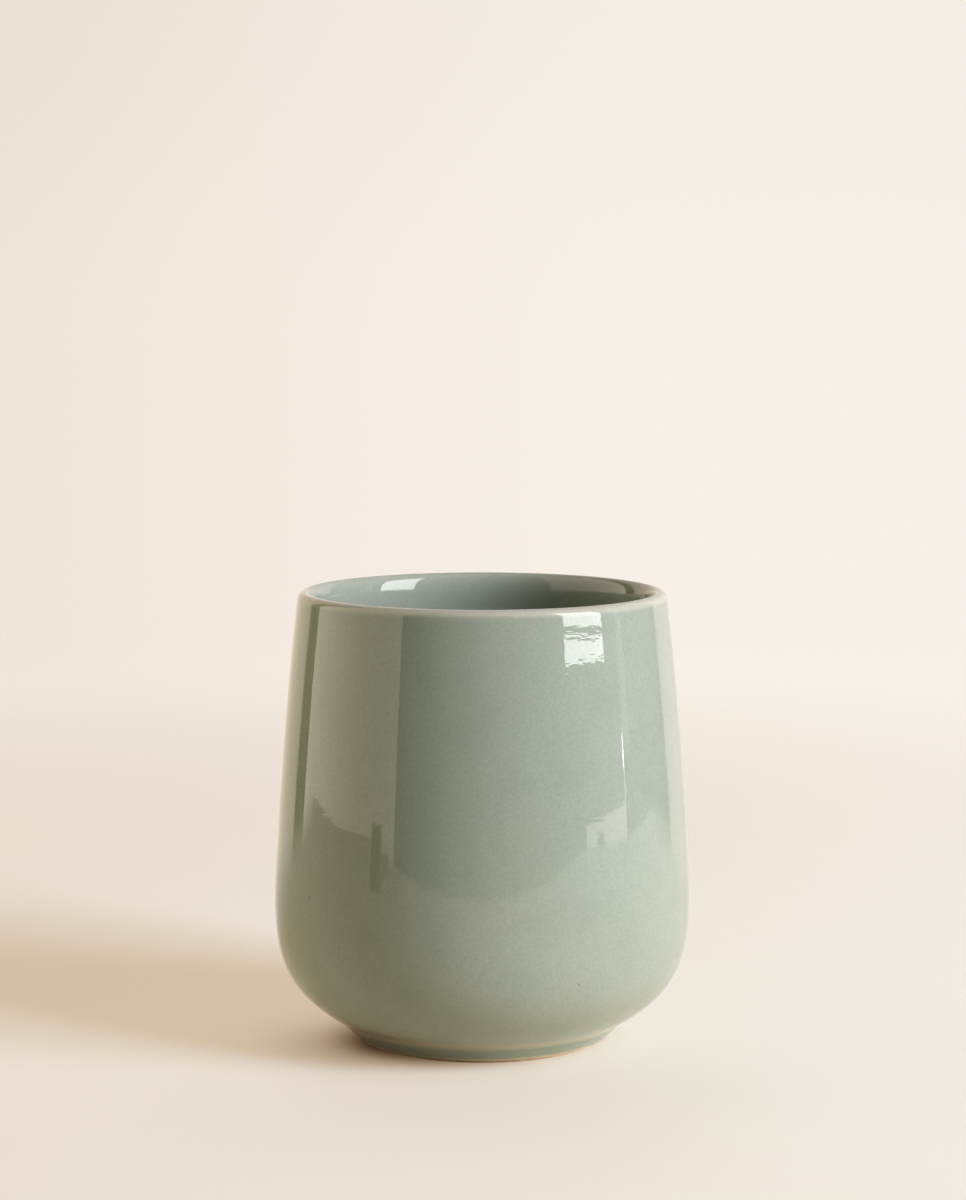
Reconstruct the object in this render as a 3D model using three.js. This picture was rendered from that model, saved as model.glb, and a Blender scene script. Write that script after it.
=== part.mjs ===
// A round stoneware plant pot: a clay body on a short turned foot, glazed inside and out.
// Millimetres, +Z up, origin at the centre of the foot's underside.
import * as THREE from "three";

// The glazed outside
const potHeight = 162;
const bellyRadius = 75;
const bellyHeight = 50;
const rimRadius = 66.4;
const rimLean = 6.9; // degrees in from upright, just under the lip
const upperRise = 35; // handle of the wall's curve at the lip
const upperFall = 22; // and at the belly
const lipRadius = 2.8; // outside of the lip

// The rounded underside and the foot
const baseSlope = 32; // degrees up from level, where the base leaves the foot
const bellyTuck = 20.8; // handle of the base's curve at the belly
const baseReach = 20.5; // and at the foot
const footRadius = 45; // the foot's cone carried down to the ground
const footFlare = 8; // how far the foot widens up to its crease
const footHeight = 7.6;
const foldRun = 2.4; // how far the soft crease runs along the foot, and along the base
const footRingWidth = 5.4;
const footEdge = 0.25; // the wiped edges of the foot ring

// The recess under the base
const recessDepth = 3.8;
const recessDraft = 10; // degrees
const recessFillet = 1.5;

// The hollow
const rimWall = 6; // at the foot of the lip's long inner rounding
const crestFlat = 0.2; // level crest between the lip's two roundings
const lipDrop = 7; // how far the inner rounding runs down
const innerRise = 6; // handle of the inner wall's curve under it
const innerFall = 30; // and at the belly
const bellyWall = 6.2;
const baseThickness = 6.7;
const floorRadius = 36;
const innerTuck = 18; // handle of the inner corner's curve at the belly
const innerReach = 22; // and at the floor

// The glaze
const glazeThickness = 0.6;
const bondGap = 0.05; // between glaze and clay, and between the two coats at the rim
const glazeLine = 1; // height of the glaze's lower edge above the ground

// Facets
const turns = 48; // facets round the pot
const fewestFacets = 3; // along a curve
const facetError = 0.2; // how far a facet may stray from its curve

const degrees = Math.PI / 180;
const leanCos = Math.cos(rimLean * degrees);
const leanSin = Math.sin(rimLean * degrees);
const footTopRadius = footRadius + footFlare;

// A path is sampled as places with the direction into the clay, which lies on its left.
function sampled(path) {
  const places = [];
  for (const curve of path.curves) {
    const turn = curve.getTangent(0).angleTo(curve.getTangent(1));
    const needed = Math.ceil(Math.sqrt((curve.getLength() * turn) / (8 * facetError)));
    const facets = curve.isLineCurve ? 1 : Math.max(needed, fewestFacets);
    for (let i = places.length ? 1 : 0; i <= facets; i++) {
      const along = curve.getTangent(i / facets);
      places.push({ at: curve.getPoint(i / facets), inward: new THREE.Vector2(-along.y, along.x) });
    }
  }
  return places;
}

// The sampled path, sunk by a depth into the clay.
function sunk(places, depth) {
  return places.map(({ at, inward }) => {
    const point = at.clone().addScaledVector(inward, depth);
    point.x = Math.max(0, point.x);
    return point;
  });
}

// Glazed outside, from the glaze line on the foot up to the crest of the lip.
function outsidePath(crestRadius) {
  const foot = new THREE.Vector2(footFlare, footHeight).normalize();
  const base = new THREE.Vector2(Math.cos(baseSlope * degrees), Math.sin(baseSlope * degrees));
  const fold = new THREE.Vector2(footTopRadius, footHeight);
  const line = new THREE.Vector2(footRadius, 0).addScaledVector(foot, glazeLine / foot.y);
  const foldStart = fold.clone().addScaledVector(foot, -foldRun);
  const foldEnd = fold.clone().addScaledVector(base, foldRun);
  const reach = fold.clone().addScaledVector(base, baseReach);
  const lipCentre = new THREE.Vector2(rimRadius - lipRadius * leanCos, potHeight - lipRadius);
  const lipFoot = new THREE.Vector2(rimRadius, lipCentre.y + lipRadius * leanSin);
  return new THREE.Path()
    .moveTo(line.x, line.y)
    .lineTo(foldStart.x, foldStart.y)
    .quadraticCurveTo(fold.x, fold.y, foldEnd.x, foldEnd.y)
    .bezierCurveTo(reach.x, reach.y, bellyRadius, bellyHeight - bellyTuck, bellyRadius, bellyHeight)
    .bezierCurveTo(
      bellyRadius,
      bellyHeight + upperFall,
      lipFoot.x + upperRise * leanSin,
      lipFoot.y - upperRise * leanCos,
      lipFoot.x,
      lipFoot.y,
    )
    .absarc(lipCentre.x, lipCentre.y, lipRadius, rimLean * degrees, Math.PI / 2)
    .lineTo(crestRadius + bondGap / 2, potHeight);
}

// Glazed inside, from the crest of the lip down to the middle of the floor.
function insidePath(crestRadius) {
  const innerRim = rimRadius - rimWall;
  const lipFoot = potHeight - lipDrop;
  const roundingTop = crestRadius - crestFlat / 2;
  const innerBelly = bellyRadius - bellyWall;
  const floor = recessDepth + baseThickness;
  return new THREE.Path()
    .moveTo(crestRadius - bondGap / 2, potHeight)
    .lineTo(roundingTop, potHeight)
    .absellipse(roundingTop, lipFoot, roundingTop - innerRim, lipDrop, Math.PI / 2, Math.PI)
    .bezierCurveTo(
      innerRim,
      lipFoot - innerRise,
      innerBelly,
      bellyHeight + innerFall,
      innerBelly,
      bellyHeight,
    )
    .bezierCurveTo(innerBelly, bellyHeight - innerTuck, floorRadius + innerReach, floor, floorRadius, floor)
    .lineTo(0, floor);
}

// Glazed recess under the base, from its middle out to the glaze line inside the foot ring.
function recessPath(ringInner) {
  const wall = new THREE.Vector2(Math.sin(recessDraft * degrees), -Math.cos(recessDraft * degrees));
  const line = new THREE.Vector2(ringInner, 0).addScaledVector(wall, glazeLine / wall.y);
  const corner = new THREE.Vector2(ringInner, 0).addScaledVector(wall, recessDepth / wall.y);
  const below = corner.clone().addScaledVector(wall, recessFillet);
  return new THREE.Path()
    .moveTo(0, recessDepth)
    .lineTo(corner.x - recessFillet, recessDepth)
    .quadraticCurveTo(corner.x, corner.y, below.x, below.y)
    .lineTo(line.x, line.y);
}

// The bare underside of the foot ring, joining the clay's inner and outer faces at the ground.
function footRing(innerFace, outerFace) {
  const ground = ([upper, lower]) => lower.x + ((lower.x - upper.x) * lower.y) / (upper.y - lower.y);
  const inner = ground(innerFace.slice(-2));
  const outer = ground([outerFace[1], outerFace[0]]);
  return [
    new THREE.Vector2(inner, footEdge),
    new THREE.Vector2(inner + footEdge, 0),
    new THREE.Vector2(outer - footEdge, 0),
    new THREE.Vector2(outer, footEdge),
  ];
}

function turned(name, profile, colour, roughness) {
  const geometry = new THREE.LatheGeometry(profile, turns);
  geometry.rotateX(Math.PI / 2);
  const material = new THREE.MeshStandardMaterial({ color: colour, roughness, metalness: 0 });
  const mesh = new THREE.Mesh(geometry, material);
  mesh.name = name;
  return mesh;
}

const crest = rimRadius - lipRadius * leanCos - crestFlat / 2;
const outside = sampled(outsidePath(crest));
const inside = sampled(insidePath(crest));
const recess = sampled(recessPath(footRadius - footRingWidth));
const clayDepth = glazeThickness + bondGap;

const clayRecess = sunk(recess, clayDepth);
const clayOutside = sunk(outside, clayDepth);
const clayInside = sunk(inside, clayDepth);
const ring = footRing(clayRecess, clayOutside);

const outerSkin = sunk(outside, 0);
const outerBack = sunk(outside, glazeThickness).reverse();
const linerSkin = sunk(inside, 0);
const linerBack = sunk(inside, glazeThickness).reverse();
const recessSkin = sunk(recess, 0);
const recessBack = sunk(recess, glazeThickness).reverse();

const pot = new THREE.Group();
pot.add(
  turned("stoneware_body", [...clayRecess, ...ring, ...clayOutside, ...clayInside], 0xc9a27c, 0.85),
  turned("outer_glaze", [...outerSkin, ...outerBack, outerSkin[0]], 0x8d9e8a, 0.12),
  turned("liner_glaze", [...linerBack, ...linerSkin], 0x8a9c8c, 0.14),
  turned("foot_recess_glaze", [...recessSkin, ...recessBack], 0x8d9e8a, 0.2),
);

export default pot;
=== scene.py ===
import math
import bpy
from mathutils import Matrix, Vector, noise


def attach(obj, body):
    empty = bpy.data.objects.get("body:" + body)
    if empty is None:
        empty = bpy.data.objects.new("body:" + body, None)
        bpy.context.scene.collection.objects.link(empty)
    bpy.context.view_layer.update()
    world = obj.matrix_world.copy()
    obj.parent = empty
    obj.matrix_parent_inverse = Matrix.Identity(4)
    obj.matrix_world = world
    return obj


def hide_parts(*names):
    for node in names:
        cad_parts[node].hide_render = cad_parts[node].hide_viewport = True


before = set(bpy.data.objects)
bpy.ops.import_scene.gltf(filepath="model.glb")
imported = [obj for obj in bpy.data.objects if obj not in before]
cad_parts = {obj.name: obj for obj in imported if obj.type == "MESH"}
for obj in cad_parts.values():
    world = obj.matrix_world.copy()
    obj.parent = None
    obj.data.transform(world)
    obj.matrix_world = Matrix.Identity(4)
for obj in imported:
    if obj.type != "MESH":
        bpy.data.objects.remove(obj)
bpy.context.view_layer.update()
scene = bpy.context.scene
scene.view_settings.view_transform = "Standard"
mm = 0.001
weldGap = 0.001 * mm
print("frame loaded:", ", ".join(sorted(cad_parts)))


# small helpers

def pickNothing():
    if bpy.context.object and bpy.context.object.mode != "OBJECT":
        bpy.ops.object.mode_set(mode="OBJECT")
    bpy.ops.object.select_all(action="DESELECT")


def pick(*pieces):
    pickNothing()
    for piece in pieces:
        piece.select_set(True)
    bpy.context.view_layer.objects.active = pieces[0]


def addNode(tree, kind, place=(0, 0), **settings):
    node = tree.nodes.new(kind)
    node.location = place
    for name, value in settings.items():
        setattr(node, name, value)
    return node


def feed(tree, socket, value):
    # a number, a colour, a vector or another node's output
    if isinstance(value, bpy.types.NodeSocket):
        tree.links.new(value, socket)
    elif socket.type == "RGBA" and len(value) == 3:
        socket.default_value = (*value, 1)
    else:
        socket.default_value = value


def math2(tree, operation, a, b=0.0, clamp=False):
    node = addNode(tree, "ShaderNodeMath", operation=operation, use_clamp=clamp)
    feed(tree, node.inputs[0], a)
    feed(tree, node.inputs[1], b)
    return node.outputs[0]


def largest(tree, first, *others):
    for other in others:
        first = math2(tree, "MAXIMUM", first, other)
    return first


def ramp(tree, value, low, high, outLow=0.0, outHigh=1.0):
    # smooth step from outLow to outHigh while the value goes from low to high
    node = addNode(tree, "ShaderNodeMapRange", interpolation_type="SMOOTHSTEP")
    feed(tree, node.inputs["Value"], value)
    feed(tree, node.inputs["From Min"], low)
    feed(tree, node.inputs["From Max"], high)
    feed(tree, node.inputs["To Min"], outLow)
    feed(tree, node.inputs["To Max"], outHigh)
    return node.outputs["Result"]


def mixNumber(tree, amount, a, b):
    node = addNode(tree, "ShaderNodeMix", data_type="FLOAT")
    feed(tree, node.inputs["Factor"], amount)
    feed(tree, node.inputs["A"], a)
    feed(tree, node.inputs["B"], b)
    return node.outputs["Result"]


def blendColour(tree, amount, a, b, how="MIX"):
    node = addNode(tree, "ShaderNodeMix", data_type="RGBA", blend_type=how)
    feed(tree, node.inputs["Factor"], amount)
    feed(tree, node.inputs["A"], a)
    feed(tree, node.inputs["B"], b)
    return node.outputs["Result"]


def tint(tree, colour, by):
    return blendColour(tree, 1.0, colour, by, "MULTIPLY")


def splitAxes(tree, place):
    axes = addNode(tree, "ShaderNodeSeparateXYZ")
    feed(tree, axes.inputs[0], place)
    return axes.outputs


# the camera

photoView = {
    "lens": 93.99,  # mm
    "film": 36,  # mm, its long side
    "distance": 1.1183,  # metres in front of the pot's middle
    "height": 0.2816,
    "sideways": 0.00032,
    "lookDown": 6.285,  # degrees
    "nearest": 0.01,  # metres, what it can see
    "farthest": 100,
}


def addCamera(view):
    bpy.ops.object.camera_add(
        location=(view["sideways"], -view["distance"], view["height"]),
        rotation=(math.radians(90 - view["lookDown"]), 0, 0),
    )
    camera = bpy.context.object
    camera.name = "photoCamera"
    camera.data.lens = view["lens"]
    camera.data.sensor_width = view["film"]
    camera.data.clip_start = view["nearest"]
    camera.data.clip_end = view["farthest"]
    scene.camera = camera


pickNothing()
addCamera(photoView)
print("camera placed")


# the pot's outlines, in millimetres, each point being its distance from the axis and its height;
# the rises, falls, tucks and reaches are how far the curves' handles pull

potShape = {
    "height": 162,
    "bellyRadius": 75,
    "bellyHeight": 50,
    "rimRadius": 66.4,
    "rimWall": 6,
    "crestFlat": 0.2,  # the level strip on top of the lip
    "lipDrop": 7,  # how far down the lip is rounded inside
    "innerRise": 6,
    "innerFall": 30,
    "rimLean": 6.9,  # degrees in from upright, under the lip
    "upperRise": 35,
    "upperFall": 22,
    "lipRadius": 2.8,  # and outside
    "baseSlope": 32,  # degrees up from level, where the base leaves the foot
    "bellyTuck": 20.8,
    "baseReach": 20.5,
    "footRadius": 45,
    "footFlare": 8,
    "footHeight": 7.6,
    "foldRun": 2.4,  # how much of the foot's fold is rounded
    "ringWidth": 5.4,
    "ringEdge": 0.25,
    "recessDepth": 3.8,
    "recessDraft": 10,  # degrees
    "recessFillet": 1.5,
    "bellyWall": 6.2,
    "baseThickness": 6.7,
    "floorRadius": 36,
    "innerTuck": 18,
    "innerReach": 22,
    "glaze": 0.6,
    "bond": 0.05,  # the gap behind the glaze
    "glazeLine": 1,  # where the glaze ends above the ground
    "turns": 192,
    "smoothness": {"out": 24, "in": 24, "down": 6},  # points along each curve
    "creaseAngle": 40,  # degrees, sharper than this stays a crease
}


def startAt(point):
    return [{"at": Vector(point), "into": Vector(point), "out": Vector(point)}]


def curveTo(knots, firstHandle, secondHandle, end):
    knots[-1]["out"] = Vector(firstHandle)
    knots.append({"at": Vector(end), "into": Vector(secondHandle), "out": Vector(end)})


def lineTo(knots, end):
    start = knots[-1]["at"]
    end = Vector(end)
    curveTo(knots, start.lerp(end, 1 / 3), start.lerp(end, 2 / 3), end)


def softCorner(knots, corner, end):
    corner, end = Vector(corner), Vector(end)
    curveTo(knots, knots[-1]["at"].lerp(corner, 2 / 3), end.lerp(corner, 2 / 3), end)


def arcTo(knots, centre, across, upright, fromAngle, toAngle):
    # part of a circle or an ellipse, across and upright being its two radii
    reach = 4 / 3 * math.tan(math.radians(toAngle - fromAngle) / 4)
    a, b = math.radians(fromAngle), math.radians(toAngle)
    start = Vector((centre[0] + across * math.cos(a), centre[1] + upright * math.sin(a)))
    end = Vector((centre[0] + across * math.cos(b), centre[1] + upright * math.sin(b)))
    leaving = Vector((-across * math.sin(a), upright * math.cos(a)))
    arriving = Vector((-across * math.sin(b), upright * math.cos(b)))
    curveTo(knots, start + reach * leaving, end - reach * arriving, end)


leanCos = math.cos(math.radians(potShape["rimLean"]))
leanSin = math.sin(math.radians(potShape["rimLean"]))
crestRadius = potShape["rimRadius"] - potShape["lipRadius"] * leanCos - potShape["crestFlat"] / 2
footSide = Vector((potShape["footFlare"], potShape["footHeight"])).normalized()
recessSide = Vector((-0.17, 0.98))  # up the recess's wall, which leans by its draft


def outsideOutline(shape):
    slope = math.radians(shape["baseSlope"])
    base = Vector((math.cos(slope), math.sin(slope)))
    fold = Vector((shape["footRadius"] + shape["footFlare"], shape["footHeight"]))
    line = Vector((shape["footRadius"], 0)) + footSide * (shape["glazeLine"] / footSide.y)
    lip = shape["lipRadius"]
    lipCentre = Vector((shape["rimRadius"] - lip * leanCos, shape["height"] - lip))
    lipFoot = Vector((shape["rimRadius"], lipCentre.y + lip * leanSin))
    belly = Vector((shape["bellyRadius"], shape["bellyHeight"]))
    knots = startAt(line)
    lineTo(knots, fold - footSide * shape["foldRun"])
    softCorner(knots, fold, fold + base * shape["foldRun"])
    curveTo(knots, fold + base * shape["baseReach"], belly - Vector((0, shape["bellyTuck"])), belly)
    curveTo(
        knots,
        belly + Vector((0, shape["upperFall"])),
        lipFoot + shape["upperRise"] * Vector((leanSin, -leanCos)),
        lipFoot,
    )
    arcTo(knots, lipCentre, lip, lip, shape["rimLean"], 90)
    lineTo(knots, (crestRadius, shape["height"]))
    return knots


def insideOutline(shape):
    roundingTop = crestRadius - shape["crestFlat"] / 2
    lipFoot = Vector((shape["rimRadius"] - shape["rimWall"], shape["height"] - shape["lipDrop"]))
    belly = Vector((shape["bellyRadius"] - shape["bellyWall"], shape["bellyHeight"]))
    floor = shape["recessDepth"] + shape["baseThickness"]
    knots = startAt((crestRadius, shape["height"]))
    lineTo(knots, (roundingTop, shape["height"]))
    arcTo(knots, (roundingTop, lipFoot.y), roundingTop - lipFoot.x, shape["lipDrop"], 90, 180)
    curveTo(
        knots,
        lipFoot - Vector((0, shape["innerRise"])),
        belly + Vector((0, shape["innerFall"])),
        belly,
    )
    curveTo(
        knots,
        belly - Vector((0, shape["innerTuck"])),
        (shape["floorRadius"] + shape["innerReach"], floor),
        (shape["floorRadius"], floor),
    )
    lineTo(knots, (0, floor))
    return knots


def recessOutline(shape):
    draft = math.radians(shape["recessDraft"])
    wall = Vector((math.sin(draft), -math.cos(draft)))
    foot = Vector((shape["footRadius"] - shape["ringWidth"], 0))
    corner = foot + wall * (shape["recessDepth"] / wall.y)
    knots = startAt((0, shape["recessDepth"]))
    lineTo(knots, (corner.x - shape["recessFillet"], shape["recessDepth"]))
    softCorner(knots, corner, corner + wall * shape["recessFillet"])
    lineTo(knots, foot + wall * (shape["glazeLine"] / wall.y))
    return knots


def drawOutline(name, knots, smoothness):
    pickNothing()
    bpy.ops.curve.primitive_bezier_curve_add(location=(0, 0, 0))
    outline = bpy.context.object
    outline.name = name
    outline.data.resolution_u = smoothness
    spline = outline.data.splines[0]
    spline.bezier_points.add(len(knots) - len(spline.bezier_points))
    for point, knot in zip(spline.bezier_points, knots):
        point.handle_left_type = point.handle_right_type = "FREE"
        point.co = Vector((knot["at"].x, 0, knot["at"].y)) * mm
        point.handle_left = Vector((knot["into"].x, 0, knot["into"].y)) * mm
        point.handle_right = Vector((knot["out"].x, 0, knot["out"].y)) * mm
    bpy.ops.object.convert(target="MESH")
    return bpy.context.object


def turnOnWheel(name, knots, shape, shows):
    # spins an outline about the pot's axis; shows is the side the glaze is seen from
    skin = drawOutline(name, knots, shape["smoothness"][shows])
    pick(skin)
    bpy.ops.object.mode_set(mode="EDIT")
    bpy.ops.mesh.select_all(action="SELECT")
    bpy.ops.mesh.spin(steps=shape["turns"], angle=math.tau, center=(0, 0, 0), axis=(0, 0, 1))
    bpy.ops.mesh.select_all(action="SELECT")
    bpy.ops.mesh.remove_doubles(threshold=weldGap)
    bpy.ops.mesh.normals_make_consistent(inside=False)
    bpy.ops.object.mode_set(mode="OBJECT")
    outwards = downwards = 0
    for face in skin.data.polygons:
        outwards += face.normal.xy.dot(face.center.xy.normalized()) * face.area
        downwards -= face.normal.z * face.area
    if {"out": outwards, "in": -outwards, "down": downwards}[shows] < 0:
        bpy.ops.object.mode_set(mode="EDIT")
        bpy.ops.mesh.flip_normals()
        bpy.ops.object.mode_set(mode="OBJECT")
    return skin


def coat(skin, thickness):
    # gives a skin its thickness, towards the clay
    pick(skin)
    bpy.ops.object.modifier_add(type="SOLIDIFY")
    solidify = skin.modifiers[-1]
    solidify.thickness = thickness * mm
    solidify.offset = -1
    solidify.use_even_offset = True
    bpy.ops.object.modifier_apply(modifier=solidify.name)


def finishPiece(piece, node, material):
    pick(piece)
    bpy.ops.object.shade_smooth_by_angle(angle=math.radians(potShape["creaseAngle"]))
    piece.data.materials.clear()
    piece.data.materials.append(material)
    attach(piece, "root")
    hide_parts(node)
    piece.data.calc_loop_triangles()
    print(piece.name, len(piece.data.loop_triangles), "triangles")


# finishes

glazeLook = {
    "body": (0.312, 0.366, 0.282),
    "deepAndShade": (0.20, 0.255, 0.20),  # where it pools, and the painted shade on the foot's face and inside the pot
    "warm": (0.37, 0.365, 0.275),  # drifts towards this in soft patches
    "buffFoot": (0.49, 0.43, 0.29),  # where it runs thin and the clay shows through
    "buffLip": (0.455, 0.482, 0.36),
    "buffRise": (20.0, 150.0),  # mm, from the foot's buff to the lip's
    "speck": (0.085, 0.075, 0.05),
    "gloss": 0.012,  # roughness
    "ior": 1.5,
}
glazeTexture = {
    "clouds": {"scale": 26, "detail": 3},
    "runs": {"scale": 150, "detail": 2, "stretch": (1, 1, 0.14), "shift": (0.3, 0.1, 0.2)},
    "pools": {"scale": 60, "detail": 2, "shift": (0.7, 0.2, 0.4)},
    "breaks": {"scale": 420, "detail": 3, "stretch": (1, 1, 0.5)},
    "grain": {"scale": 1000, "detail": 3},
    "peel": {"scale": 900, "detail": 1},
    "ripple": {"scale": 620, "detail": 1, "stretch": (0.3, 0.3, 1), "shift": (0.5, 0.8, 0.1)},
    "fineSpecks": {"Spacing": 430.0, "Radius": 0.22, "Share": 0.3, "Softness": 0.12},
    "boldSpecks": {"Spacing": 95.0, "Radius": 0.055, "Share": 0.5, "Softness": 0.02},
    # from, to, and what they give there
    "cloudDrift": (0.35, 0.7),
    "runDrift": (0.3, 0.75, -0.25, 0.25),
    "poolDepth": (0.45, 0.8, 0.0, 0.16),
    "breakShare": (0.2, 0.7, 0.8, 1.0),
    "grainShade": (0.3, 0.7, 0.95, 1.04),
    "cloudRoughness": (0.3, 0.8, 0.0, 0.015),
    # strengths
    "drift": 0.14,
    "fine": 0.32,
    "bold": 0.85,
    "thinRoughness": 0.03,
    "peelHeight": 0.0025,  # mm
    "rippleHeight": 0.0092,
    "speckDip": 0.002,
}
clayLook = {
    "body": (0.56, 0.40, 0.25),
    "toasted": (0.33, 0.17, 0.075),
    "sand": (0.70, 0.56, 0.40),
    "iron": (0.09, 0.055, 0.035),
    "sandGrain": {"scale": 900, "detail": 4},
    "patches": {"scale": 60, "detail": 3},
    "ironSpots": {"Spacing": 500.0, "Radius": 0.22, "Share": 0.2, "Softness": 0.08},
    "ironStrength": 0.8,
    "sandShare": (0.35, 0.7),
    "toastedRise": (0.15, 0.8),  # mm up the foot
    "toastedShare": (0.3, 0.6, 0.6, 1.0),
    "roughness": (0.3, 0.7, 0.82, 0.92),
    "sandHeight": 0.05,  # mm
}


def makeGroup(name, inputs, outputs):
    group = bpy.data.node_groups.new(name, "ShaderNodeTree")
    for label, kind, value in inputs:
        socket = group.interface.new_socket(name=label, in_out="INPUT", socket_type=kind)
        if value is not None:
            socket.default_value = value
    for label, kind in outputs:
        group.interface.new_socket(name=label, in_out="OUTPUT", socket_type=kind)
    start = addNode(group, "NodeGroupInput", (-900, 0))
    end = addNode(group, "NodeGroupOutput", (900, 0))
    return group, start, end


def useGroup(tree, group, **values):
    node = addNode(tree, "ShaderNodeGroup")
    node.node_tree = group
    for label, value in values.items():
        feed(tree, node.inputs[label], value)
    return node.outputs


def startMaterial(name):
    material = bpy.data.materials.new(name)
    material.use_nodes = True
    return material, material.node_tree


def addNoise(tree, place, scale, detail, stretch=(1, 1, 1), shift=(0, 0, 0)):
    mapping = addNode(tree, "ShaderNodeMapping")
    feed(tree, mapping.inputs["Vector"], place)
    mapping.inputs["Scale"].default_value = stretch
    mapping.inputs["Location"].default_value = shift
    cloud = addNode(tree, "ShaderNodeTexNoise")
    feed(tree, cloud.inputs["Vector"], mapping.outputs[0])
    cloud.inputs["Scale"].default_value = scale
    cloud.inputs["Detail"].default_value = detail
    return cloud.outputs["Fac"]


def addRelief(tree, shader, height):
    bump = addNode(tree, "ShaderNodeBump")
    bump.inputs["Distance"].default_value = mm
    feed(tree, bump.inputs["Height"], height)
    feed(tree, shader.inputs["Normal"], bump.outputs["Normal"])


def makeSpecks():
    # round dots of mixed sizes scattered through the glaze, cut where the surface meets them
    group, start, end = makeGroup(
        "scatteredSpecks",
        [
            ("Place", "NodeSocketVector", None),
            ("Spacing", "NodeSocketFloat", 300.0),
            ("Radius", "NodeSocketFloat", 0.12),
            ("Share", "NodeSocketFloat", 0.2),
            ("Softness", "NodeSocketFloat", 0.05),
        ],
        [("Mask", "NodeSocketFloat")],
    )
    smallest, faintest = 0.25, 0.4  # beside the largest and the darkest, which are 1
    cells = addNode(group, "ShaderNodeTexVoronoi", feature="F1", distance="EUCLIDEAN")
    feed(group, cells.inputs["Vector"], start.outputs["Place"])
    feed(group, cells.inputs["Scale"], start.outputs["Spacing"])
    cellColour = addNode(group, "ShaderNodeSeparateColor")
    feed(group, cellColour.inputs[0], cells.outputs["Color"])
    chosen = math2(group, "LESS_THAN", cellColour.outputs["Red"], start.outputs["Share"])
    size = mixNumber(group, cellColour.outputs["Green"], smallest, 1.0)
    radius = math2(group, "MULTIPLY", start.outputs["Radius"], size)
    inner = math2(group, "SUBTRACT", radius, start.outputs["Softness"])
    dot = ramp(group, cells.outputs["Distance"], inner, radius, 1.0, 0.0)
    strength = mixNumber(group, cellColour.outputs["Blue"], faintest, 1.0)
    mask = math2(group, "MULTIPLY", math2(group, "MULTIPLY", dot, chosen), strength)
    feed(group, end.inputs["Mask"], mask)
    return group


def makeGlazeDepth(specks, texture):
    # colour, roughness and relief of the glaze, from how thin or how deep it lies, and where its
    # deep colour paints shade
    group, start, end = makeGroup(
        "glazeDepth",
        [
            ("Place", "NodeSocketVector", None),
            ("Thin", "NodeSocketFloat", 0.0),
            ("Pool", "NodeSocketFloat", 0.0),
            ("Body", "NodeSocketColor", None),
            ("Deep", "NodeSocketColor", None),
            ("Warm", "NodeSocketColor", None),
            ("Buff", "NodeSocketColor", None),
            ("Speck", "NodeSocketColor", None),
            ("Gloss", "NodeSocketFloat", 0.1),
        ],
        [
            ("Colour", "NodeSocketColor"),
            ("Roughness", "NodeSocketFloat"),
            ("Height", "NodeSocketFloat"),
        ],
    )
    given = start.outputs
    place = given["Place"]
    clouds = addNoise(group, place, **texture["clouds"])
    runs = addNoise(group, place, **texture["runs"])
    drift = math2(
        group, "ADD",
        ramp(group, clouds, *texture["cloudDrift"]),
        ramp(group, runs, *texture["runDrift"]),
    )
    drift = math2(group, "MULTIPLY", drift, texture["drift"], clamp=True)
    colour = blendColour(group, drift, given["Body"], given["Warm"])
    pools = ramp(group, addNoise(group, place, **texture["pools"]), *texture["poolDepth"])
    # the deep colour: pooled glaze, and painted shade where the pool mask asks for it
    colour = blendColour(
        group, math2(group, "ADD", given["Pool"], pools, clamp=True), colour, given["Deep"],
    )
    breaks = ramp(group, addNoise(group, place, **texture["breaks"]), *texture["breakShare"])
    thin = math2(group, "MULTIPLY", given["Thin"], breaks, clamp=True)
    colour = blendColour(group, thin, colour, given["Buff"])
    grain = addNoise(group, place, **texture["grain"])
    colour = tint(group, colour, ramp(group, grain, *texture["grainShade"]))
    fine = useGroup(group, specks, Place=place, **texture["fineSpecks"])["Mask"]
    bold = useGroup(group, specks, Place=place, **texture["boldSpecks"])["Mask"]
    spots = largest(
        group,
        math2(group, "MULTIPLY", fine, texture["fine"]),
        math2(group, "MULTIPLY", bold, texture["bold"]),
    )
    feed(group, end.inputs["Colour"], blendColour(group, spots, colour, given["Speck"]))

    thinRoughness = math2(group, "MULTIPLY", thin, texture["thinRoughness"])
    rough = math2(group, "ADD", given["Gloss"], thinRoughness)
    rough = math2(group, "ADD", rough, ramp(group, clouds, *texture["cloudRoughness"]))
    feed(group, end.inputs["Roughness"], rough)

    peel = addNoise(group, place, **texture["peel"])
    ripple = addNoise(group, place, **texture["ripple"])
    relief = math2(
        group, "ADD",
        math2(group, "MULTIPLY", peel, texture["peelHeight"]),
        math2(group, "MULTIPLY", ripple, texture["rippleHeight"]),
    )
    dip = math2(group, "MULTIPLY", spots, texture["speckDip"])
    feed(group, end.inputs["Height"], math2(group, "SUBTRACT", relief, dip))
    return group


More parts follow.
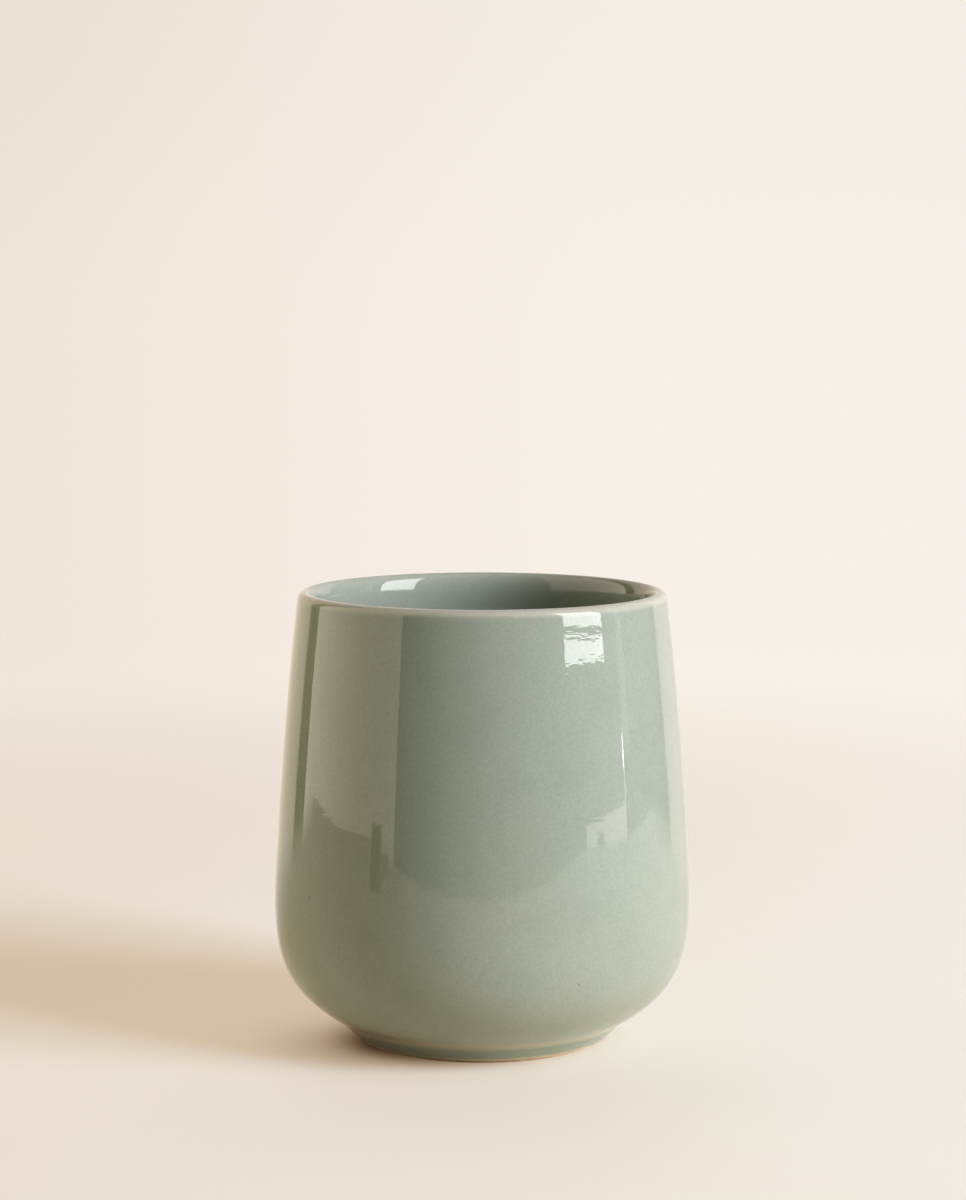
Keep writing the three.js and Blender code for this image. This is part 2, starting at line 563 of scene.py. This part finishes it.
def makeGlaze(name, look, depthGroup, thinMask, poolAndShadeMask):
    # thinMask and poolAndShadeMask build their own nodes from the height and the distance from the
    # axis; the second places pooled glaze and, on the foot and the liner, painted shade
    material, tree = startMaterial(name)
    shader = tree.nodes["Principled BSDF"]
    place = addNode(tree, "ShaderNodeTexCoord", (-1200, 0)).outputs["Object"]
    axes = splitAxes(tree, place)
    height = math2(tree, "DIVIDE", axes["Z"], mm)
    squares = [math2(tree, "POWER", axes[axis], 2.0) for axis in "XY"]
    across = math2(tree, "DIVIDE", math2(tree, "SQRT", math2(tree, "ADD", *squares)), mm)
    rise = ramp(tree, height, *look["buffRise"])
    surface = useGroup(
        tree, depthGroup, Place=place,
        Thin=thinMask(tree, height, across), Pool=poolAndShadeMask(tree, height, across),
        Body=look["body"], Deep=look["deepAndShade"], Warm=look["warm"],
        Buff=blendColour(tree, rise, look["buffFoot"], look["buffLip"]),
        Speck=look["speck"], Gloss=look["gloss"],
    )
    feed(tree, shader.inputs["Base Color"], surface["Colour"])
    feed(tree, shader.inputs["Roughness"], surface["Roughness"])
    addRelief(tree, shader, surface["Height"])
    shader.inputs["IOR"].default_value = look["ior"]
    return material


# where each coat lies thin or deep, and where its deep colour paints shade: from and to in mm up
# the pot, and the share at each
glazeSpread = {
    "crest": (158.6, 160.6, 0.0, 1.0),
    "crestTop": (161.3, 161.9, 1.0, 0.55),
    "foldHeight": 8.0,
    "fold": (0.3, 2.0, 0.42, 0.0),  # by the distance from that height
    "wiped": (1.3, 2.7, 1.0, 0.0),
    # the foot's face takes the deep colour: glaze pooled there, and painted shade on this downward
    # face
    "footPool": (5.4, 7.2, 0.9, 0.0),
    "skirtPool": (10.0, 34.0, 0.22, 0.0),
    "linerCrest": (157.0, 161.6, 0.0, 0.35),
    # painted shade inside the pot: the liner takes the deep colour all over, most towards the inner
    # floor, where glaze also pools
    "linerPool": (10.6, 150.0, 0.8, 0.45),
    "recessWiped": (1.1, 2.0, 1.0, 0.0),
    "recessPool": (30.0, 38.0, 0.1, 0.6),  # by the distance from the axis
}


def outerThin(tree, height, across):
    crest = ramp(tree, height, *glazeSpread["crest"])
    crest = math2(tree, "MINIMUM", crest, ramp(tree, height, *glazeSpread["crestTop"]))
    fromFold = math2(tree, "SUBTRACT", height, glazeSpread["foldHeight"])
    fold = ramp(tree, math2(tree, "ABSOLUTE", fromFold), *glazeSpread["fold"])
    return largest(tree, crest, fold, ramp(tree, height, *glazeSpread["wiped"]))


def outerPool(tree, height, across):
    # painted shade on the foot's downward face, over the glaze pooled there; the skirt's share
    # fades up the base
    foot = ramp(tree, height, *glazeSpread["footPool"])
    return largest(tree, foot, ramp(tree, height, *glazeSpread["skirtPool"]))


def linerThin(tree, height, across):
    return ramp(tree, height, *glazeSpread["linerCrest"])


def linerPool(tree, height, across):
    # painted shade inside the hollow, darkest towards the inner floor, over the glaze pooled there
    return ramp(tree, height, *glazeSpread["linerPool"])


def recessThin(tree, height, across):
    return ramp(tree, height, *glazeSpread["recessWiped"])


def recessPool(tree, height, across):
    return ramp(tree, across, *glazeSpread["recessPool"])


def makeClay(look, specks):
    material, tree = startMaterial("firedClay")
    shader = tree.nodes["Principled BSDF"]
    place = addNode(tree, "ShaderNodeTexCoord").outputs["Object"]
    height = math2(tree, "DIVIDE", splitAxes(tree, place)["Z"], mm)
    sandy = addNoise(tree, place, **look["sandGrain"])
    patchy = addNoise(tree, place, **look["patches"])
    colour = blendColour(tree, ramp(tree, sandy, *look["sandShare"]), look["body"], look["sand"])
    toasted = math2(
        tree, "MULTIPLY",
        ramp(tree, height, *look["toastedRise"]),
        ramp(tree, patchy, *look["toastedShare"]),
    )
    colour = blendColour(tree, toasted, colour, look["toasted"])
    spots = useGroup(tree, specks, Place=place, **look["ironSpots"])["Mask"]
    spots = math2(tree, "MULTIPLY", spots, look["ironStrength"])
    feed(tree, shader.inputs["Base Color"], blendColour(tree, spots, colour, look["iron"]))
    feed(tree, shader.inputs["Roughness"], ramp(tree, patchy, *look["roughness"]))
    addRelief(tree, shader, math2(tree, "MULTIPLY", sandy, look["sandHeight"]))
    return material


specks = makeSpecks()
glazeDepth = makeGlazeDepth(specks, glazeTexture)
outerFinish = makeGlaze("outerGlazeFinish", glazeLook, glazeDepth, outerThin, outerPool)
linerFinish = makeGlaze("linerGlazeFinish", glazeLook, glazeDepth, linerThin, linerPool)
recessFinish = makeGlaze("recessGlazeFinish", glazeLook, glazeDepth, recessThin, recessPool)
clayFinish = makeClay(clayLook, specks)
print("finishes ready")


# the glaze coats

# how the lower edges were wiped, in millimetres
wipedEdges = {
    "outer": {"reach": 1.6, "waver": 0.28, "seed": 3, "roundBelow": 2.2, "roundWidth": 0.2},
    "recess": {"reach": 1.2, "waver": 0.25, "seed": 11, "roundBelow": 1.6, "roundWidth": 0.15},
    "slowWaves": 5,
    "quickWaves": 19,
    "quickShare": 0.45,
    "quickSeed": 7,
    "sharpAngle": 50,  # degrees, what counts as a corner to round
    "segments": 3,
}


def waverLine(skin, line, edge, upSide):
    # the wiped lower edge of a glaze isn't a ruled line
    for vertex in skin.data.vertices:
        height = vertex.co.z / mm
        if height > line + edge["reach"]:
            continue
        around = Vector((vertex.co.x, vertex.co.y, 0)).normalized()
        slow, quick = around * wipedEdges["slowWaves"], around * wipedEdges["quickWaves"]
        sway = noise.noise(slow + Vector((0, 0, edge["seed"])))
        sway += wipedEdges["quickShare"] * noise.noise(
            quick + Vector((0, 0, edge["seed"] + wipedEdges["quickSeed"]))
        )
        move = edge["waver"] * sway * (1 - (height - line) / edge["reach"]) * mm
        vertex.co += (around * upSide.x + Vector((0, 0, upSide.y))) * move


def roundWipedEdge(piece, edge):
    # softens the coat's two lower corners, where the glaze was wiped off
    pick(piece)
    bpy.ops.object.mode_set(mode="EDIT")
    bpy.ops.mesh.select_mode(type="EDGE")
    bpy.ops.mesh.select_all(action="DESELECT")
    bpy.ops.mesh.edges_select_sharp(sharpness=math.radians(wipedEdges["sharpAngle"]))
    bpy.ops.object.mode_set(mode="OBJECT")
    vertices = piece.data.vertices
    below = edge["roundBelow"] * mm
    corners = set()
    for side in piece.data.edges:
        side.select = side.select and all(vertices[i].co.z < below for i in side.vertices)
        if side.select:
            corners.update(side.vertices)
    for vertex in vertices:
        vertex.select = vertex.index in corners
    bpy.ops.object.mode_set(mode="EDIT")
    bpy.ops.mesh.bevel(offset=edge["roundWidth"] * mm, segments=wipedEdges["segments"])
    bpy.ops.object.mode_set(mode="OBJECT")


outerGlaze = turnOnWheel("outerGlaze", outsideOutline(potShape), potShape, "out")
waverLine(outerGlaze, potShape["glazeLine"], wipedEdges["outer"], footSide)
coat(outerGlaze, potShape["glaze"])
roundWipedEdge(outerGlaze, wipedEdges["outer"])
finishPiece(outerGlaze, "outer_glaze", outerFinish)

linerGlaze = turnOnWheel("linerGlaze", insideOutline(potShape), potShape, "in")
coat(linerGlaze, potShape["glaze"])
finishPiece(linerGlaze, "liner_glaze", linerFinish)

recessGlaze = turnOnWheel("recessGlaze", recessOutline(potShape), potShape, "down")
waverLine(recessGlaze, potShape["glazeLine"], wipedEdges["recess"], recessSide)
coat(recessGlaze, potShape["glaze"])
roundWipedEdge(recessGlaze, wipedEdges["recess"])
finishPiece(recessGlaze, "foot_recess_glaze", recessFinish)
print("glaze coats turned")


# the clay body

def makeClayBody(shape):
    outer = turnOnWheel("clayBody", outsideOutline(shape), shape, "out")
    inner = turnOnWheel("clayInside", insideOutline(shape), shape, "in")
    recess = turnOnWheel("clayRecess", recessOutline(shape), shape, "down")
    pick(outer, inner, recess)
    bpy.ops.object.join()
    body = bpy.context.object
    bpy.ops.object.mode_set(mode="EDIT")
    bpy.ops.mesh.select_all(action="SELECT")
    bpy.ops.mesh.remove_doubles(threshold=weldGap)
    bpy.ops.transform.shrink_fatten(value=-(shape["glaze"] + shape["bond"]) * mm)
    bpy.ops.object.mode_set(mode="OBJECT")
    closeFootRing(body, shape)
    return body


def closeFootRing(body, shape):
    # carries both open edges down to the ground and joins them with the bare ring
    depth = shape["glaze"] + shape["bond"]
    draft = math.radians(shape["recessDraft"])
    recessGround = shape["footRadius"] - shape["ringWidth"] + depth / math.cos(draft)
    footGround = shape["footRadius"] - depth / footSide.y
    edge = shape["ringEdge"]
    for side, ground, inwards in (("outer", footGround, -1), ("inner", recessGround, 1)):
        carryEdge(body, shape, side, ground, edge)
        carryEdge(body, shape, side, ground + inwards * edge, 0)
    selectOpenEdges(body)
    bpy.ops.object.mode_set(mode="EDIT")
    bpy.ops.mesh.bridge_edge_loops()
    bpy.ops.mesh.select_all(action="SELECT")
    bpy.ops.mesh.normals_make_consistent(inside=False)
    bpy.ops.object.mode_set(mode="OBJECT")


def selectOpenEdges(body):
    pick(body)
    bpy.ops.object.mode_set(mode="EDIT")
    bpy.ops.mesh.select_mode(type="EDGE")
    bpy.ops.mesh.select_all(action="DESELECT")
    bpy.ops.mesh.select_non_manifold(
        extend=False, use_wire=False, use_multi_face=False,
        use_non_contiguous=False, use_verts=False,
    )
    bpy.ops.object.mode_set(mode="OBJECT")


def keepSide(body, shape, side):
    # leaves only the foot's open edge ("outer") or the recess's ("inner") selected
    middle = (shape["footRadius"] - shape["ringWidth"] / 2) * mm
    for edge in body.data.edges:
        radii = [body.data.vertices[i].co.xy.length for i in edge.vertices]
        if (sum(radii) / 2 > middle) != (side == "outer"):
            edge.select = False
    for vertex in body.data.vertices:
        if (vertex.co.xy.length > middle) != (side == "outer"):
            vertex.select = False


def carryEdge(body, shape, side, radius, height):
    selectOpenEdges(body)
    keepSide(body, shape, side)
    ring = [vertex.co.copy() for vertex in body.data.vertices if vertex.select]
    nowRadius = sum(point.xy.length for point in ring) / len(ring)
    nowHeight = sum(point.z for point in ring) / len(ring)
    grow = radius * mm / nowRadius
    bpy.ops.object.mode_set(mode="EDIT")
    bpy.ops.mesh.extrude_edges_move()
    bpy.ops.transform.resize(value=(grow, grow, 1), center_override=(0, 0, 0))
    bpy.ops.transform.translate(value=(0, 0, height * mm - nowHeight))
    bpy.ops.object.mode_set(mode="OBJECT")


clayBody = makeClayBody(potShape)
finishPiece(clayBody, "stoneware_body", clayFinish)
print("clay body turned")


# the floor, in metres

floorLook = {
    "size": 6.0,
    "sunk": 0.02,  # mm, so that it doesn't meet the foot's underside
    "colour": (0.375, 0.525, 0.552),
    "glow": (0.575, 0.424, 0.297),  # painted fill light: the floor glows warm where it is seen, lifting its shadow
    "bounceNear": (0.93, 0.82, 0.54),  # what the floor throws back on the pot, close by
    "bounceFar": (0.46, 0.54, 0.33),  # and farther off
    "bounceReach": (0.10, 0.22),
    # the bounce grows from left to right: from, to, and how strong it is there
    "bounceLean": (-0.06, 0.06, 0.88, 1.17),
    "footLean": (-0.045, 0.045, 0.60, 1.5),  # under the foot's face
    "footReach": (0.055, 0.075),
    "fade": (0.35, 1.2),  # into the backdrop
    "tableFront": -0.63,  # where the mirrored table ends
    "tableLeft": -1.1,
    "tableRight": 0.95,
    "sweep": (0.2, 0.42),  # and where it turns up into the paper behind the pot
}
# painted shade on the floor round the foot, where the pot hides the room's light; it darkens the
# floor's colour, its glow and the light it throws back on the pot
contactShades = {
    "underTheFoot": {
        "middle": (-0.0314, -0.0159), "inner": 0.0, "reach": 0.031, "depth": 0.62,
    },
    "frontOfThePot": {
        "middle": (-0.0017, -0.0787), "inner": 0.0, "reach": 0.0828, "depth": 0.095,
    },
    # only where it's seen, and deeper on the left: from, to, and the depth there
    "roundTheFoot": {
        "middle": (0.0, 0.0), "inner": 0.043, "reach": 0.010,
        "seenDepth": (-0.03, 0.035, 0.3, 0.08),
    },
}
shadeWarmth = {"Red": 1.0, "Green": 1.16, "Blue": 1.32}  # the painted shade falls faster in green and blue
leastLight = 0.02


def contactShade(tree, place, shades, seen):
    # painted shadow: how much of the floor's colour and glow is left near the foot
    left = 1.0
    for shade in shades.values():
        away = addNode(tree, "ShaderNodeVectorMath", operation="DISTANCE")
        feed(tree, away.inputs[0], place)
        away.inputs[1].default_value = (*shade["middle"], 0)
        share = math2(tree, "SUBTRACT", away.outputs["Value"], shade["inner"])
        share = math2(tree, "DIVIDE", math2(tree, "MAXIMUM", share, 0.0), shade["reach"])
        share = math2(tree, "MULTIPLY", math2(tree, "POWER", share, 2.0), -1.0)
        share = math2(tree, "EXPONENT", share)
        if "seenDepth" in shade:
            depth = ramp(tree, splitAxes(tree, place)["X"], *shade["seenDepth"])
            depth = math2(tree, "MULTIPLY", seen, depth)
        else:
            depth = shade["depth"]
        left = math2(tree, "SUBTRACT", left, math2(tree, "MULTIPLY", share, depth))
    left = math2(tree, "MAXIMUM", left, leastLight)
    colour = addNode(tree, "ShaderNodeCombineColor")
    for channel, power in shadeWarmth.items():
        feed(tree, colour.inputs[channel], math2(tree, "POWER", left, power))
    return colour.outputs["Color"]


def makeFloor(look):
    pickNothing()
    bpy.ops.mesh.primitive_plane_add(size=look["size"], location=(0, 0, -look["sunk"] * mm))
    floor = bpy.context.object
    floor.name = "stageFloor"
    material, tree = startMaterial("paleFloor")
    tree.nodes.clear()
    output = addNode(tree, "ShaderNodeOutputMaterial", (600, 0))
    rays = addNode(tree, "ShaderNodeLightPath").outputs
    seen = largest(
        tree, rays["Is Camera Ray"], rays["Is Glossy Ray"], rays["Is Transmission Ray"],
    )
    place = addNode(tree, "ShaderNodeTexCoord").outputs["Object"]
    axes = splitAxes(tree, place)
    length = addNode(tree, "ShaderNodeVectorMath", operation="LENGTH")
    feed(tree, length.inputs[0], place)
    reach = length.outputs["Value"]
    shade = contactShade(tree, place, contactShades, seen)

    # what is seen, and what the floor throws back on the pot
    # painted fill light: the floor glows where it is seen, under the painted shade
    glow = addNode(tree, "ShaderNodeEmission")
    feed(tree, glow.inputs["Color"], tint(tree, shade, look["glow"]))
    feed(tree, glow.inputs["Strength"], seen)
    lean = mixNumber(
        tree, ramp(tree, reach, *look["footReach"]),
        ramp(tree, axes["X"], *look["footLean"]),
        ramp(tree, axes["X"], *look["bounceLean"]),
    )
    farther = ramp(tree, reach, *look["bounceReach"])
    bounce = tint(tree, blendColour(tree, farther, look["bounceNear"], look["bounceFar"]), lean)
    matt = addNode(tree, "ShaderNodeBsdfDiffuse")
    matted = blendColour(tree, seen, bounce, look["colour"])
    feed(tree, matt.inputs["Color"], tint(tree, matted, shade))
    lifted = addNode(tree, "ShaderNodeAddShader")
    tree.links.new(matt.outputs[0], lifted.inputs[0])
    tree.links.new(glow.outputs[0], lifted.inputs[1])

    # where it ends
    pastEdge = largest(
        tree,
        math2(tree, "LESS_THAN", axes["Y"], look["tableFront"]),
        ramp(tree, axes["Y"], *look["sweep"]),
        math2(tree, "LESS_THAN", axes["X"], look["tableLeft"]),
        math2(tree, "GREATER_THAN", axes["X"], look["tableRight"]),
    )
    gone = mixNumber(tree, rays["Is Glossy Ray"], ramp(tree, reach, *look["fade"]), pastEdge)
    clear = addNode(tree, "ShaderNodeBsdfTransparent")
    mix = addNode(tree, "ShaderNodeMixShader")
    feed(tree, mix.inputs[0], gone)
    tree.links.new(lifted.outputs[0], mix.inputs[1])
    tree.links.new(clear.outputs[0], mix.inputs[2])
    tree.links.new(mix.outputs[0], output.inputs["Surface"])
    floor.data.materials.append(material)


# the room: a turn is in degrees from the camera's side, negative on the left, a rise in degrees
# up; where four numbers stand, they are from, to, and the value at each

roomLook = {
    "dark": (0.05, 0.05, 0.045),
    "backdropLeft": (0.863, 0.784, 0.708),  # as the camera sees it
    "backdropRight": (0.939, 0.874, 0.805),
    "backdropAcross": (-0.17, 0.06),
    "backdropRise": (-1.5, 5.0, 1.0, 0.965),
    "paperLeft": (1.17, 0.98, 0.80),  # the paper behind, as the glaze mirrors it
    "paperMiddle": (0.97, 0.84, 0.78),
    "paperRight": (1.10, 0.97, 0.92),
    "paperAcross": (-0.2, 0.2),
    "paperMiddleTurn": (146.0, 156.0),
    "paperTurn": (130.0, 131.0),
    "paperLight": (0.36, 0.32, 0.29),  # and the light it gives
    "panel": (1.50, 1.32, 1.16),  # the pale panel on the left
    "panelStart": (-119.3, -118.7),
    "panelEnd": (-49.5, -49.1, 1.0, 0.0),
    "panelGain": (-110.0, -50.0, 1.5, 1.0),  # brighter towards its far end
    "panelLight": (1.22, 0.98, 0.68),
    "panelLightRise": (20.0, 36.0, 1.0, 0.0),
    "panelLightGain": (-112.0, -84.0, 4.5, 0.9),  # its far end gives the most light
    "overhead": (0.80, 0.70, 0.54),
    "overheadLight": (0.03, 0.02, 0.015),
    "overheadRise": (42.0, 60.0),
}


def makeRoom(look):
    world = bpy.data.worlds.new("studioRoom")
    scene.world = world
    world.use_nodes = True
    tree = world.node_tree
    tree.nodes.clear()
    output = addNode(tree, "ShaderNodeOutputWorld", (900, 0))
    light = addNode(tree, "ShaderNodeBackground", (700, 0))
    axes = splitAxes(tree, addNode(tree, "ShaderNodeTexCoord").outputs["Generated"])
    turn = math2(tree, "ARCTAN2", axes["X"], math2(tree, "MULTIPLY", axes["Y"], -1.0))
    turn = math2(tree, "DEGREES", turn)
    rise = math2(tree, "DEGREES", math2(tree, "ARCSINE", axes["Z"]))
    rays = addNode(tree, "ShaderNodeLightPath").outputs
    lighting = rays["Is Diffuse Ray"]

    # each part of the room looks one way in the glaze and lights the pot in another
    inPanel = math2(
        tree, "MULTIPLY",
        ramp(tree, turn, *look["panelStart"]),
        ramp(tree, turn, *look["panelEnd"]),
    )
    mirrored = tint(tree, look["panel"], ramp(tree, turn, *look["panelGain"]))
    given = tint(tree, look["panelLight"], ramp(tree, rise, *look["panelLightRise"]))
    given = tint(tree, given, ramp(tree, turn, *look["panelLightGain"]))
    panel = blendColour(tree, lighting, mirrored, given)
    room = blendColour(tree, inPanel, look["dark"], panel)

    middle = ramp(tree, turn, *look["paperMiddleTurn"])
    mirrored = blendColour(tree, middle, look["paperRight"], look["paperMiddle"])
    across = ramp(tree, axes["X"], *look["paperAcross"])
    mirrored = blendColour(tree, across, look["paperLeft"], mirrored)
    behind = ramp(tree, math2(tree, "ABSOLUTE", turn), *look["paperTurn"])
    paper = blendColour(tree, lighting, mirrored, look["paperLight"])
    room = blendColour(tree, behind, room, paper)

    overhead = blendColour(tree, lighting, look["overhead"], look["overheadLight"])
    room = blendColour(tree, ramp(tree, rise, *look["overheadRise"]), room, overhead)

    across = ramp(tree, axes["X"], *look["backdropAcross"])
    backdrop = blendColour(tree, across, look["backdropLeft"], look["backdropRight"])
    backdrop = tint(tree, backdrop, ramp(tree, rise, *look["backdropRise"]))
    seen = largest(tree, rays["Is Camera Ray"], rays["Is Transmission Ray"])
    feed(tree, light.inputs["Color"], blendColour(tree, seen, room, backdrop))
    tree.links.new(light.outputs[0], output.inputs["Surface"])


# the window, and what else only the glaze mirrors

windowShape = {
    "facing": 20,  # degrees right of the camera's line, the way its wall looks
    "away": 1.6,  # metres from the pot
    "leftEdge": 49.3,  # degrees right of the camera's line
    "rightEdge": 76.6,
    "bottom": 0.328,
    "top": 2.05,
    "stripBottom": 0.25,
    "stripTop": 0.299,
    "lightTop": 1.7,
    "lightRight": 80.0,  # the light also comes from the wall beside it
}
windowLight = {
    "brightness": 18.4,
    "colour": (1.0, 0.93, 1.075),
    "mirrored": (1.0, 1.0, 0.99),
    "mirroredStrength": 9.5,
}
hollowFill = {
    "above": 0.30,  # metres
    "across": 0.06,
    "spread": 28,  # degrees, narrow enough to stay inside the mouth
    "energy": 0.012,
    "colour": (1.0, 0.95, 0.86),
}
# the turn to its middle in degrees, metres away, width, bottom, top, brightness
mirroredThings = {
    "lowBlock": (-56.6, 0.593, 0.062, 0.0, 0.057, 0.0),
    "lowBlockBeside": (-51.5, 0.70, 0.045, 0.0, 0.03, 0.35),
    "brightSill": (71.5, 1.12, 0.55, -0.02, 0.024, 2.8),
    "sillPot": (66.3, 1.0, 0.07, -0.03, 0.017, 0.25),
    "doorLine": (85.3, 1.3, 0.014, 0.05, 0.088, 20.0),
    "doorLineLow": (85.3, 1.3, 0.014, 0.01, 0.05, 4.0),
    "doorGlow": (88.6, 1.4, 0.13, 0.06, 0.60, 0.9),
}
mirroredTint = (1.0, 0.96, 0.9)


def turnTowards(turn):
    return Vector((math.sin(math.radians(turn)), -math.cos(math.radians(turn)), 0))


def windowCorner(shape, turn):
    return turnTowards(turn) * (shape["away"] / math.cos(math.radians(turn - shape["facing"])))


def addLamp(name, shape, place, turned=(0, 0, 0)):
    # an area lamp that isn't seen itself, straight or in the glaze
    pickNothing()
    bpy.ops.object.light_add(type="AREA", location=place, rotation=turned)
    lamp = bpy.context.object
    lamp.name = name
    lamp.data.shape = shape
    lamp.visible_glossy = False
    lamp.visible_camera = False
    return lamp.data


def addCard(name, middle, width, low, high, turn, colour, strength):
    # an upright card that gives no light and throws no shadow, and is only seen in the glaze
    pickNothing()
    bpy.ops.mesh.primitive_plane_add(
        size=1,
        location=middle + Vector((0, 0, (low + high) / 2)),
        rotation=(math.radians(90), 0, math.radians(turn)),
    )
    card = bpy.context.object
    card.name = name
    card.scale = (width, high - low, 1)
    bpy.ops.object.transform_apply(location=True, rotation=True, scale=True)
    material, tree = startMaterial(name + "Glow")
    tree.nodes.clear()
    output = addNode(tree, "ShaderNodeOutputMaterial", (300, 0))
    glow = addNode(tree, "ShaderNodeEmission")
    feed(tree, glow.inputs["Color"], colour)
    feed(tree, glow.inputs["Strength"], strength)
    tree.links.new(glow.outputs[0], output.inputs["Surface"])
    card.data.materials.append(material)
    card.visible_camera = False
    card.visible_diffuse = False
    card.visible_shadow = False
    card.visible_transmission = False


def addWindow(shape, light):
    left, right = windowCorner(shape, shape["leftEdge"]), windowCorner(shape, shape["rightEdge"])
    lightRight = windowCorner(shape, shape["lightRight"])
    wide, tall = (lightRight - left).length, shape["lightTop"] - shape["stripBottom"]
    lamp = addLamp(
        "windowLight", "RECTANGLE",
        (left + lightRight) / 2 + Vector((0, 0, shape["stripBottom"] + tall / 2)),
        (math.radians(90), 0, math.radians(shape["facing"])),
    )
    lamp.size, lamp.size_y = wide, tall
    lamp.energy = light["brightness"] * math.pi * wide * tall
    lamp.color = light["colour"]

    # the panes, as the glaze mirrors them
    for name, low, high in (
        ("windowPane", shape["bottom"], shape["top"]),
        ("windowStrip", shape["stripBottom"], shape["stripTop"]),
    ):
        addCard(
            name, (left + right) / 2, (right - left).length, low, high, shape["facing"],
            light["mirrored"], light["mirroredStrength"],
        )


def addHollowFill(fill):
    # a little of the ceiling's light, so that the inner floor isn't black from above
    lamp = addLamp("hollowFill", "DISK", (0, 0, fill["above"]))
    lamp.size = fill["across"]
    lamp.spread = math.radians(fill["spread"])
    lamp.energy = fill["energy"]
    lamp.color = fill["colour"]


makeFloor(floorLook)
makeRoom(roomLook)
addWindow(windowShape, windowLight)
addHollowFill(hollowFill)
for name, (turn, away, width, low, high, glow) in mirroredThings.items():
    addCard(name, turnTowards(turn) * away, width, low, high, turn, mirroredTint, glow)
print("stage lit")
